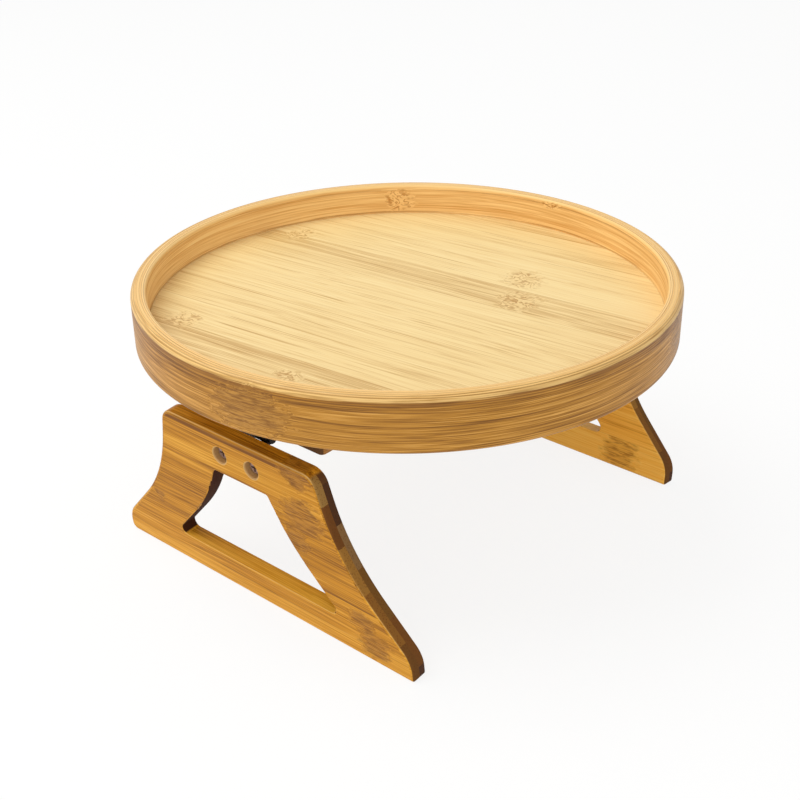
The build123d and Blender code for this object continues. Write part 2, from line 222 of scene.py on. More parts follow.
@dataclass(frozen=True)
class LacqueredBamboo:
    """Planed bamboo strips, edge-glued or bent, sanded and sprayed with satin lacquer.

    To the eye that is straight pale fibres with darker bundles between them, a slight change of tone
    from strip to strip, a curly brown node across a strip here and there, a painted highlight on the
    rounded edges, cut ends that are darker and dotted, and a soft broad sheen.
    Lengths are in millimetres along, across and through the board.
    """

    name: str
    layout: GrainFrame
    tone: GrainTone
    strip_width: float = 22.0
    strip_start: float = 0.0
    layer_thickness: float = 100.0
    layer_start: float = 0.0
    turn: tuple[float, float, float] = (0.0, 0.0, 0.0)
    centre: tuple[float, float, float] = (0.0, 0.0, 0.0)
    hoop_radius: float = 121.5
    middle_angle: float = 0.0
    nodes: tuple[CaneNode, ...] = ()
    curl: CurlStyle = CurlStyle.CHOPPED
    node_strength: float = 0.8
    strip_contrast: float = 0.3
    fine_contrast: float = 0.85
    broad_contrast: float = 0.6
    drift_contrast: float = 0.35
    fine_fibre: tuple[float, float] = (50.0, 0.6)
    bundle_fibre: tuple[float, float] = (55.0, 0.5)
    bundle_share: float = 0.5
    bundle_start: float = 0.58
    end_share: float = 1.0
    end_strips: tuple[tuple[str, ...], ...] = ()
    row_tones: tuple[float, ...] = ()
    # Painted shade on the cut ends inside the window: how far it reaches, its top, its colour and its share.
    scorch_reach: float = 0.0
    scorch_top: float = -19.0
    scorch: str = "#381606"
    scorch_share: float = 0.95
    # How strongly the painted highlight is laid on the rounded edges.
    edge_highlight_share: float = 0.0
    roughness: float = 0.4
    cut_roughness: float = 0.4
    relief_depth: float = 0.12
    curl_depth: float = 0.8
    specular: float = 0.3
    seed: float = 0.0

    def material(self) -> Material:
        """Builds the whole finish.

        Returns:
            The material, ready for a material slot.
        """
        material, tree, shader = blank_material(self.name)
        grain = self._grain_place(tree)
        for draw in (self._strips, self._curls, self._streaks):
            grain.update(draw(tree, grain))
        colour = self._colour(tree, grain)
        for paint in (self._edge_highlight, self._end_grain, self._own_marks):
            colour = paint(tree, grain, colour)
        rough = add(tree, "MapRange", {
            "Value": grain["fine"], "From Min": 0.3, "From Max": 0.7,
            "To Min": self.roughness + 0.08, "To Max": self.roughness - 0.05})
        rough = add(tree, "Math", {
            0: self._cut_share(tree, grain), 1: self.cut_roughness, 2: rough}, operation="MULTIPLY_ADD")
        height = add(tree, "Math", {
            0: grain["lines"], 1: -self.curl_depth, 2: grain["fine"]}, operation="MULTIPLY_ADD")
        height = add(tree, "Math", {0: height, 1: grain["seam"]}, operation="SUBTRACT")
        relief = add(tree, "Bump", {"Height": height, "Distance": self.relief_depth * MM, "Strength": 0.35})
        shader.inputs["IOR"].default_value = LACQUER_IOR
        shader.inputs["Specular IOR Level"].default_value = self.specular
        for socket, node in (("Base Color", colour), ("Roughness", rough), ("Normal", relief)):
            tree.links.new(node.outputs[0], shader.inputs[socket])
        return material

    def hoop_length(self, degrees: float) -> float:
        """The distance along a bent ply from its middle, which lies opposite its joint.

        Args:
            degrees: The angle about the tray, from +X.

        Returns:
            Millimetres, negative clockwise of the middle.
        """
        turned = (degrees - self.middle_angle + 180) % 360 - 180
        return math.radians(turned) * self.hoop_radius

    def _grain_place(self, tree: Tree) -> Patterns:
        """Finds each point's place in the grain, and how the surface faces it.

        Args:
            tree: The material's node tree.

        Returns:
            The place along, across and through the wood in millimetres, and the surface's normal in
            that frame, as facing.
        """
        source = add(tree, "TexCoord")
        if self.layout is GrainFrame.BOARD:
            moved = add(tree, "VectorMath", {
                0: source.outputs["Object"], 1: Vector(self.centre) * MM}, operation="SUBTRACT")
            turned = add(tree, "Mapping", {"Vector": moved, "Rotation": self.turn}, vector_type="POINT")
            place = add(tree, "VectorMath", {0: turned, "Scale": 1 / MM}, operation="SCALE")
            facing = add(tree, "Mapping", {
                "Vector": source.outputs["Normal"], "Rotation": self.turn}, vector_type="POINT")
            return {"place": place, "facing": facing}
        turned = add(tree, "Mapping", {
            "Vector": source.outputs["Object"], "Rotation": (0, 0, math.radians(-self.middle_angle))},
            vector_type="POINT")
        split = add(tree, "SeparateXYZ", {0: turned})
        angle = add(tree, "Math", {0: split.outputs["Y"], 1: split.outputs["X"]}, operation="ARCTAN2")
        length = add(tree, "Math", {0: angle, 1: self.hoop_radius}, operation="MULTIPLY")
        flat = add(tree, "VectorMath", {0: turned, 1: (1, 1, 0)}, operation="MULTIPLY")
        radius = add(tree, "VectorMath", {0: flat}, operation="LENGTH")
        through = add(tree, "Math", {0: radius.outputs["Value"], 1: 1 / MM}, operation="MULTIPLY")
        height = add(tree, "Math", {0: split.outputs["Z"], 1: 1 / MM}, operation="MULTIPLY")
        place = add(tree, "CombineXYZ", {"X": length, "Y": height, "Z": through})
        facing = add(tree, "VectorMath", {0: source.outputs["Normal"], 1: (0, 0, 1)}, operation="MULTIPLY")
        return {"place": place, "facing": facing}

    def _strips(self, tree: Tree, grain: Patterns) -> Patterns:
        """Divides the board into strips and layers, each with a tone and a shift of its own.

        Args:
            tree: The material's node tree.
            grain: The patterns so far.

        Returns:
            The shifted place, the strip's tone from 0 to 1, the glue seam's mask, and the row's and the
            layer's number.
        """
        split = add(tree, "SeparateXYZ", {0: grain["place"]})
        layers = add(tree, "Math", {
            0: split.outputs["Z"], 1: 1 / self.layer_thickness,
            2: -self.layer_start / self.layer_thickness}, operation="MULTIPLY_ADD")
        layer = add(tree, "Math", {0: layers}, operation="FLOOR")
        rows = add(tree, "Math", {
            0: split.outputs["Y"], 1: 1 / self.strip_width,
            2: -self.strip_start / self.strip_width}, operation="MULTIPLY_ADD")
        rows = add(tree, "Math", {0: layer, 1: LAYER_STAGGER, 2: rows}, operation="MULTIPLY_ADD")
        row = add(tree, "Math", {0: rows}, operation="FLOOR")
        number = add(tree, "CombineXYZ", {"X": row, "Y": layer, "Z": self.seed})
        chance = add(tree, "TexWhiteNoise", {"Vector": number}, noise_dimensions="3D")
        shift = add(tree, "VectorMath", {
            0: chance.outputs["Color"], 1: STRIP_SHIFT, 2: grain["place"]}, operation="MULTIPLY_ADD")
        fraction = add(tree, "Math", {0: rows}, operation="FRACT")
        ping = add(tree, "Math", {0: fraction, 1: 0.5}, operation="PINGPONG")
        away = add(tree, "Math", {0: ping, 1: self.strip_width}, operation="MULTIPLY")
        seam = add(tree, "MapRange", {
            "Value": away, "From Min": 0.0, "From Max": SEAM_HALF, "To Min": 1.0, "To Max": 0.0},
            interpolation_type="SMOOTHSTEP")
        tone: Node | float = chance
        if self.row_tones:
            tone = 0.0
            for place, level in enumerate(self.row_tones):
                here = add(tree, "Math", {0: row, 1: -float(place), 2: 0.5}, operation="COMPARE")
                tone = add(tree, "Math", {0: here, 1: level, 2: tone}, operation="MULTIPLY_ADD")
        return {"shifted": shift, "tone": tone, "seam": seam, "row": row, "layer": layer}

    def _curls(self, tree: Tree, grain: Patterns) -> Patterns:
        """Draws the nodes of the cane: a ragged patch in which the fibres curl.

        Args:
            tree: The material's node tree.
            grain: The patterns so far.

        Returns:
            The patches' mask, the pattern of curls from 0 to 1 and the curls' dark lines.
        """
        nearest: Node | float = OUT_OF_REACH
        split = add(tree, "SeparateXYZ", {0: grain["place"]})
        for node in self.nodes:
            scaled = add(tree, "VectorMath", {
                0: grain["place"], 1: (1 / node.half_length, 1 / node.half_width, 0.0),
                2: (-node.along / node.half_length, -node.across / node.half_width, 0.0)},
                operation="MULTIPLY_ADD")
            away = add(tree, "VectorMath", {0: scaled}, operation="LENGTH")
            strip_across = add(tree, "Math", {
                0: split.outputs["Y"], 1: (node.low + node.high) / 2, 2: (node.high - node.low) / 2},
                operation="COMPARE")
            outside = add(tree, "Math", {0: 1.0, 1: strip_across}, operation="SUBTRACT")
            clipped = add(tree, "Math", {
                0: outside, 1: OUT_OF_REACH, 2: away.outputs["Value"]}, operation="MULTIPLY_ADD")
            nearest = add(tree, "Math", {0: clipped, 1: nearest}, operation="MINIMUM")
        coarse = add(tree, "VectorMath", {0: grain["shifted"], 1: PATCH_RATE}, operation="MULTIPLY")
        ragged = add(tree, "TexNoise", {"Vector": coarse, "Scale": 1.0, "Detail": 2.0})
        nearest = add(tree, "Math", {0: ragged, 1: PATCH_RAGGED, 2: nearest}, operation="MULTIPLY_ADD")
        mask = add(tree, "MapRange", {
            "Value": nearest, "From Min": PATCH_EDGE[0], "From Max": PATCH_EDGE[1], "To Min": 1.0,
            "To Max": 0.0}, interpolation_type="SMOOTHSTEP")
        length, width = CURL_SIZES[self.curl]
        stretched = add(tree, "VectorMath", {
            0: grain["shifted"], 1: (1 / length, 1 / width, 1 / width)}, operation="MULTIPLY")
        swirl = add(tree, "TexNoise", {
            "Vector": stretched, "Scale": 1.0, "Detail": 2.0, "Roughness": 0.5, "Distortion": 0.7})
        low, high = 0.38, 0.6
        if self.curl is CurlStyle.RINGED:
            swirl = add(tree, "Math", {0: swirl, 1: RING_COUNT}, operation="MULTIPLY")
            swirl = add(tree, "Math", {0: swirl}, operation="SINE")
            low, high = -1.0, 0.2
        pattern = add(tree, "MapRange", {
            "Value": swirl, "From Min": low, "From Max": high}, interpolation_type="SMOOTHSTEP")
        dark = add(tree, "Math", {0: 1.0, 1: pattern}, operation="SUBTRACT")
        lines = add(tree, "Math", {0: dark, 1: mask}, operation="MULTIPLY")
        return {"mask": mask, "pattern": pattern, "lines": lines}

    def _streaks(self, tree: Tree, grain: Patterns) -> Patterns:
        """Draws the long fibres: fine ones, broader ones of 2.6 mm, drifts of 13 mm and dark bundles.

        Args:
            tree: The material's node tree.
            grain: The patterns so far.

        Returns:
            The fine, broad and drifting patterns and the dark bundles.
        """
        slow = add(tree, "VectorMath", {0: grain["shifted"], 1: WANDER_RATE}, operation="MULTIPLY")
        wander = add(tree, "TexNoise", {"Vector": slow, "Scale": 1.0, "Detail": 1.0})
        local = add(tree, "VectorMath", {0: grain["shifted"], 1: BESIDE_RATE}, operation="MULTIPLY")
        beside = add(tree, "TexNoise", {"Vector": local, "Scale": 1.0, "Detail": 1.0})
        pushed = add(tree, "Math", {0: beside, 1: grain["mask"]}, operation="MULTIPLY")
        sway = add(tree, "Math", {0: wander, 1: SWAY}, operation="MULTIPLY")
        sway = add(tree, "Math", {0: pushed, 1: SWAY, 2: sway}, operation="MULTIPLY_ADD")
        step = add(tree, "CombineXYZ", {"X": 0.0, "Y": sway, "Z": sway})
        place = add(tree, "VectorMath", {0: grain["shifted"], 1: step}, operation="ADD")
        found: Patterns = {}
        sizes = {"fine": self.fine_fibre, "broad": BROAD_FIBRE, "drift": DRIFT_FIBRE,
                 "bundle": self.bundle_fibre}
        for name, (length, width) in sizes.items():
            scaled = add(tree, "VectorMath", {
                0: place, 1: (1 / length, 1 / width, 1 / width)}, operation="MULTIPLY")
            found[name] = add(tree, "TexNoise", {
                "Vector": scaled, "Scale": 1.0, "Detail": 3.0, "Roughness": 0.55})
        return found

    def _colour(self, tree: Tree, grain: Patterns) -> Node:
        """Turns the patterns into the wood's colour.

        Args:
            tree: The material's node tree.
            grain: The patterns so far.

        Returns:
            The node whose output is the colour.
        """
        weights = {"fine": self.fine_contrast, "broad": self.broad_contrast, "drift": self.drift_contrast,
                   "tone": self.strip_contrast}
        total: Node | float = 0.5 - 0.5 * sum(weights.values())
        for name, weight in weights.items():
            total = add(tree, "Math", {0: grain[name], 1: weight, 2: total}, operation="MULTIPLY_ADD")
        ramp = add(tree, "ValToRGB", {"Fac": total})
        stops = ramp.color_ramp.elements
        stops[0].position, stops[0].color = 0.2, linear(self.tone.dark)
        stops[1].position, stops[1].color = 0.8, linear(self.tone.light)
        middle = stops.new(0.5)
        middle.color = linear(self.tone.base)
        bundle = add(tree, "MapRange", {
            "Value": grain["bundle"], "From Min": self.bundle_start,
            "From Max": self.bundle_start + BUNDLE_EDGE, "To Max": self.bundle_share},
            interpolation_type="SMOOTHSTEP")
        colour = add(tree, "MixRGB", {"Fac": bundle, "Color1": ramp, "Color2": linear(self.tone.dark)})
        curled = add(tree, "MixRGB", {
            "Fac": grain["pattern"], "Color1": linear(self.tone.node),
            "Color2": linear(self.tone.node_light)})
        share = add(tree, "Math", {0: grain["mask"], 1: self.node_strength}, operation="MULTIPLY")
        colour = add(tree, "MixRGB", {"Fac": share, "Color1": colour, "Color2": curled})
        line = add(tree, "Math", {0: grain["seam"], 1: SEAM_SHARE}, operation="MULTIPLY")
        return add(tree, "MixRGB", {"Fac": line, "Color1": colour, "Color2": linear(self.tone.dark)})

    def _edge_highlight(self, tree: Tree, grain: Patterns, colour: Node) -> Node:
        """Paints a highlight on the rounded edges: a lighter colour where the surface turns, standing in for
        the light that the rounding catches.

        Args:
            tree: The material's node tree.
            grain: The patterns so far.
            colour: The colour so far.

        Returns:
            The node whose output is the colour.
        """
        split = add(tree, "SeparateXYZ", {0: grain["facing"]})
        flat = add(tree, "Math", {0: split.outputs["Z"]}, operation="ABSOLUTE")
        ping = add(tree, "Math", {0: flat, 1: EDGE_FACING}, operation="PINGPONG")
        share = add(tree, "MapRange", {
            "Value": ping, "From Min": 0.25, "From Max": EDGE_FACING, "To Max": self.edge_highlight_share},
            interpolation_type="SMOOTHSTEP")
        return add(tree, "MixRGB", {"Fac": share, "Color1": colour, "Color2": linear(self.tone.edge)})

    def _cut_share(self, tree: Tree, grain: Patterns) -> Node:
        """Finds the cut ends of the fibres, which also take the lacquer less smoothly.

        Args:
            tree: The material's node tree.
            grain: The patterns so far.

        Returns:
            The node whose output is nothing on the long grain and end_share on a cut end.
        """
        split = add(tree, "SeparateXYZ", {0: grain["facing"]})
        along = add(tree, "Math", {0: split.outputs["X"]}, operation="ABSOLUTE")
        return add(tree, "MapRange", {
            "Value": along, "From Min": CUT_FACING[0], "From Max": CUT_FACING[1], "To Max": self.end_share},
            interpolation_type="SMOOTHSTEP")

    def _end_grain(self, tree: Tree, grain: Patterns, colour: Node) -> Node:
        """Darkens cut ends, where the fibres show as dots and each strip as a block.

        Args:
            tree: The material's node tree.
            grain: The patterns so far.
            colour: The long grain's colour.

        Returns:
            The node whose output is the whole colour.
        """
        share = self._cut_share(tree, grain)
        block = add(tree, "MapRange", {
            "Value": grain["tone"], "From Min": 0.3, "From Max": 0.7, "To Min": 0.08, "To Max": 0.8},
            interpolation_type="SMOOTHSTEP")
        ends = add(tree, "MixRGB", {
            "Fac": block, "Color1": linear(self.tone.end_dark), "Color2": linear(self.tone.end_light)})
        if self.end_strips:
            ends = self._listed_ends(tree, grain)
        dots_place = add(tree, "VectorMath", {0: grain["shifted"], 1: END_DOT_RATE}, operation="MULTIPLY")
        dots = add(tree, "TexVoronoi", {"Vector": dots_place, "Scale": 1.0})
        dotted = add(tree, "MapRange", {
            "Value": dots.outputs["Distance"], "From Min": 0.16, "From Max": 0.4, "To Min": 0.6,
            "To Max": 0.0}, interpolation_type="SMOOTHSTEP")
        ends = add(tree, "MixRGB", {"Fac": dotted, "Color1": ends, "Color2": linear(self.tone.end_dot)})
        # Painted shade on the cut ends inside the window.
        if self.scorch_reach > 0:
            ends = self._window_shade(tree, grain, ends)
        return add(tree, "MixRGB", {"Fac": share, "Color1": colour, "Color2": ends})

    def _listed_ends(self, tree: Tree, grain: Patterns) -> Node:
        """Colours the cut ends strip by strip, from the list of each layer.

        Args:
            tree: The material's node tree.
            grain: The patterns so far.

        Returns:
            The node whose output is the ends' colour.
        """
        ramps = []
        for colours in self.end_strips:
            share = add(tree, "Math", {
                0: grain["row"], 1: -1 / len(colours), 2: 0.5 / len(colours)}, operation="MULTIPLY_ADD")
            ramp = add(tree, "ValToRGB", {"Fac": share})
            ramp.color_ramp.interpolation = "CONSTANT"
            stops = ramp.color_ramp.elements
            stops.remove(stops[1])
            stops[0].position, stops[0].color = 0.0, linear(colours[0])
            for number, colour in enumerate(colours[1:], start=1):
                stops.new(number / len(colours)).color = linear(colour)
            ramps.append(ramp)
        back = add(tree, "Math", {0: grain["layer"], 1: -1.0, 2: 0.5}, operation="COMPARE")
        return add(tree, "MixRGB", {"Fac": back, "Color1": ramps[0], "Color2": ramps[-1]})

    def _window_shade(self, tree: Tree, grain: Patterns, colour: Node) -> Node:
        """Paints shade on the cut ends inside a window: a dark brown that stands for the shade those faces
        sit in.

        Args:
            tree: The material's node tree.
            grain: The patterns so far.
            colour: The ends' colour.

        Returns:
            The node whose output is the ends' colour.
        """
        split = add(tree, "SeparateXYZ", {0: grain["place"]})
        aside = add(tree, "Math", {0: split.outputs["X"]}, operation="ABSOLUTE")
        reach = add(tree, "Math", {
            0: split.outputs["Y"], 1: WINDOW_SLOPE, 2: aside}, operation="MULTIPLY_ADD")
        share = add(tree, "MapRange", {
            "Value": reach, "From Min": self.scorch_reach - 0.5, "From Max": self.scorch_reach + 0.5,
            "To Min": self.scorch_share, "To Max": 0.0})
        below = add(tree, "Math", {0: split.outputs["Y"], 1: self.scorch_top}, operation="LESS_THAN")
        share = add(tree, "Math", {0: share, 1: below}, operation="MULTIPLY")
        return add(tree, "MixRGB", {"Fac": share, "Color1": colour, "Color2": linear(self.scorch)})

    def _own_marks(self, tree: Tree, grain: Patterns, colour: Node) -> Node:
        """Leaves the colour as it is; a finish with marks of its own adds them here.

        Args:
            tree: The material's node tree; not used here.
            grain: The patterns so far; not used here.
            colour: The colour so far.

        Returns:
            The node whose output is the colour.
        """
        return colour


@dataclass(frozen=True)
class BentPly(LacqueredBamboo):
    """Bent bamboo ply whose top is sanded round, which bares its paler core.

    To the eye the upward side is lighter, partly the sanded core and partly painted light, with fine lines
    round it, and just under the rounding dark lines are drawn at given heights.
    """

    # top is the rounded top's pale colour: partly the sanded core, partly painted light on the upward face.
    top: str = "#F0C880"
    top_start: float = 125.4
    top_ragged: float = 2.2
    top_line: str = "#8A5A22"
    top_line_heights: tuple[float, ...] = ()
    ring_line_radii: tuple[float, ...] = ()
    ring_line: str = "#8E5E20"
    ring_line_half: float = 0.19
    top_line_half: float = 0.3
    top_line_share: float = 0.75
    top_share: float = 0.85
    ring_wander: float = 0.8

    def _own_marks(self, tree: Tree, grain: Patterns, colour: Node) -> Node:
        """Adds the pale rounded top, which is partly painted light, and the dark lines under it.

        Args:
            tree: The material's node tree.
            grain: The patterns so far.
            colour: The colour so far.

        Returns:
            The node whose output is the colour.
        """
        split = add(tree, "SeparateXYZ", {0: grain["place"]})
        height = add(tree, "Math", {
            0: grain["fine"], 1: self.top_ragged, 2: split.outputs["Y"]}, operation="MULTIPLY_ADD")
        height = add(tree, "Math", {0: height, 1: self.top_ragged / 2}, operation="SUBTRACT")
        share = add(tree, "MapRange", {
            "Value": height, "From Min": self.top_start - 0.5, "From Max": self.top_start + 0.6,
            "To Max": self.top_share}, interpolation_type="SMOOTHSTEP")
        fine = add(tree, "MapRange", {
            "Value": grain["fine"], "From Min": 0.34, "From Max": 0.58, "To Min": 0.7, "To Max": 0.0})
        # The pale top is partly the sanded core and partly painted light on the upward face.
        pale = add(tree, "MixRGB", {
            "Fac": fine, "Color1": linear(self.top), "Color2": linear(self.tone.base)})
        colour = add(tree, "MixRGB", {"Fac": share, "Color1": colour, "Color2": pale})
        strength = add(tree, "MapRange", {
            "Value": grain["drift"], "From Min": 0.35, "From Max": 0.6, "To Min": self.top_line_share,
            "To Max": self.top_line_share * 0.3})
        for level in self.top_line_heights:
            near = add(tree, "Math", {0: height, 1: level, 2: self.top_line_half}, operation="COMPARE")
            line = add(tree, "Math", {0: near, 1: strength}, operation="MULTIPLY")
            colour = add(tree, "MixRGB", {"Fac": line, "Color1": colour, "Color2": linear(self.top_line)})
        bend = add(tree, "Math", {
            0: grain["drift"], 1: self.ring_wander, 2: split.outputs["Z"]}, operation="MULTIPLY_ADD")
        for radius in self.ring_line_radii:
            near = add(tree, "Math", {
                0: bend, 1: radius + self.ring_wander / 2, 2: self.ring_line_half}, operation="COMPARE")
            line = add(tree, "Math", {0: near, 1: share}, operation="MULTIPLY")
            line = add(tree, "Math", {0: line, 1: strength}, operation="MULTIPLY")
            colour = add(tree, "MixRGB", {"Fac": line, "Color1": colour, "Color2": linear(self.ring_line)})
        return colour


@dataclass(frozen=True)
class DrilledBoard(LacqueredBamboo):
    """A bamboo board with counterbored screw wells.

    To the eye each well has a thin pale ring, a painted highlight on the chamfer round its edge, and a
    tan wall inside it: bare wood, painted lighter for the light that falls into the well.
    """

    wells: tuple[tuple[float, float], ...] = ()
    well_radius: float = 3.9
    ring_radius: float = 4.55
    mark_edge: float = 0.15
    mark_share: float = 0.7
    # wall is bare wood lightened by painted light; ring is the painted highlight on the chamfer.
    wall: str = "#AA8256"
    ring: str = "#DDB573"

    def _own_marks(self, tree: Tree, grain: Patterns, colour: Node) -> Node:
        """Adds the wells' walls, partly painted light, and the pale rings round them, which are painted
        highlights.

        Args:
            tree: The material's node tree.
            grain: The patterns so far.
            colour: The colour so far.

        Returns:
            The node whose output is the colour.
        """
        flat = add(tree, "VectorMath", {0: grain["place"], 1: (1, 1, 0)}, operation="MULTIPLY")
        for along, across in self.wells:
            away = add(tree, "VectorMath", {0: flat, 1: (along, across, 0)}, operation="DISTANCE")
            # The ring is a painted highlight on the chamfer; the wall's tan is bare wood lightened by
            # painted light.
            for reach, paint in ((self.ring_radius, self.ring), (self.well_radius + 0.3, self.wall)):
                share = add(tree, "MapRange", {
                    "Value": away.outputs["Value"], "From Min": reach - self.mark_edge,
                    "From Max": reach + self.mark_edge, "To Min": self.mark_share, "To Max": 0.0})
                colour = add(tree, "MixRGB", {"Fac": share, "Color1": colour, "Color2": linear(paint)})
        return colour


@dataclass(frozen=True)
class WorkedMetal:
    """Stamped, turned or drawn metal: steel under zinc or black oxide, bare spring wire, or brass.

    To the eye that is a metal with faint rub marks and a slightly cloudy shine, bluish grey under zinc
    and nearly black under oxide. Real rub marks are hair-fine, and are drawn 0.25 mm wide so that they
    show.
    """

    name: str
    colour: str = "#B9B6B2"
    dull: str = "#8D8A88"
    roughness: float = 0.32
    scratch_length: float = 6.0
    scratch_width: float = 0.25
    cloud_size: float = 2.381
    relief_depth: float = 0.01

    def material(self) -> Material:
        """Builds the finish.

        Returns:
            The material, ready for a material slot.
        """
        material, tree, shader = blank_material(self.name)
        source = add(tree, "TexCoord")
        across = 1 / (self.scratch_width * MM)
        scale = (1 / (self.scratch_length * MM), across, across)
        place = add(tree, "VectorMath", {0: source.outputs["Object"], 1: scale}, operation="MULTIPLY")
        rubs = add(tree, "TexNoise", {"Vector": place, "Scale": 1.0, "Detail": 3.0})
        cloud = add(tree, "TexNoise", {
            "Vector": source.outputs["Object"], "Scale": 1 / (self.cloud_size * MM), "Detail": 2.0})
        total = add(tree, "Math", {0: rubs, 1: cloud}, operation="MULTIPLY")
        rough = add(tree, "MapRange", {
            "Value": total, "From Min": 0.1, "From Max": 0.45,
            "To Min": self.roughness - 0.08, "To Max": self.roughness + 0.14})
        ramp = add(tree, "MixRGB", {
            "Fac": cloud, "Color1": linear(self.colour), "Color2": linear(self.dull)})
        relief = add(tree, "Bump", {"Height": rubs, "Distance": self.relief_depth * MM, "Strength": 0.3})
        shader.inputs["Metallic"].default_value = 1.0
        for socket, node in (("Base Color", ramp), ("Roughness", rough), ("Normal", relief)):
            tree.links.new(node.outputs[0], shader.inputs[socket])
        return material


@dataclass(frozen=True)
class MouldedNylon:
    """Black nylon, injection moulded.

    To the eye that is a nearly black, matt plastic. Its grain is under 0.1 mm on the real one and is
    drawn 0.35 mm wide, so that it shows.
    """

    name: str
    colour: str = "#1C1C1D"
    worn: str = "#2A2A2B"
    roughness: float = 0.5
    grain: float = 0.35
    relief_depth: float = 0.02

    def material(self) -> Material:
        """Builds the finish.

        Returns:
            The material, ready for a material slot.
        """
        material, tree, shader = blank_material(self.name)
        source = add(tree, "TexCoord")
        pits = add(tree, "TexNoise", {
            "Vector": source.outputs["Object"], "Scale": 1 / (self.grain * MM), "Detail": 2.0})
        rough = add(tree, "MapRange", {
            "Value": pits, "To Min": self.roughness - 0.1, "To Max": self.roughness + 0.12})
        shade = add(tree, "MixRGB", {
            "Fac": pits, "Color1": linear(self.colour), "Color2": linear(self.worn)})
        relief = add(tree, "Bump", {"Height": pits, "Distance": self.relief_depth * MM, "Strength": 0.4})
        for socket, node in (("Base Color", shade), ("Roughness", rough), ("Normal", relief)):
            tree.links.new(node.outputs[0], shader.inputs[socket])
        return material


def finished_piece(mesh_maker: BMesh, name: str, material: Material,
                   sharp_degrees: float = 40.0) -> Piece:
    """Turns a bmesh into an object at the origin, shaded smooth between its sharp edges.

    Args:
        mesh_maker: The shape, which is freed.
        name: The piece's name.
        material: Its finish.
        sharp_degrees: Edges that turn by more than this stay sharp.

    Returns:
        The new object.
    """
    mesh = bpy.data.meshes.new(name)
    mesh_maker.to_mesh(mesh)
    mesh_maker.free()
    mesh.shade_smooth()
    mesh.set_sharp_from_angle(angle=math.radians(sharp_degrees))
    mesh.materials.append(material)
    piece = bpy.data.objects.new(name, mesh)
    bpy.context.scene.collection.objects.link(piece)
    return piece


def dress(nodes: list[str], material: Material) -> None:
    """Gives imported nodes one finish.

    Args:
        nodes: The nodes' names.
        material: The finish.
    """
    for name in nodes:
        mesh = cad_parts[name].data
        if mesh.materials:
            for place in range(len(mesh.materials)):
                mesh.materials[place] = material
        else:
            mesh.materials.append(material)
        LOG.info("dressed %s in %s", name, material.name)


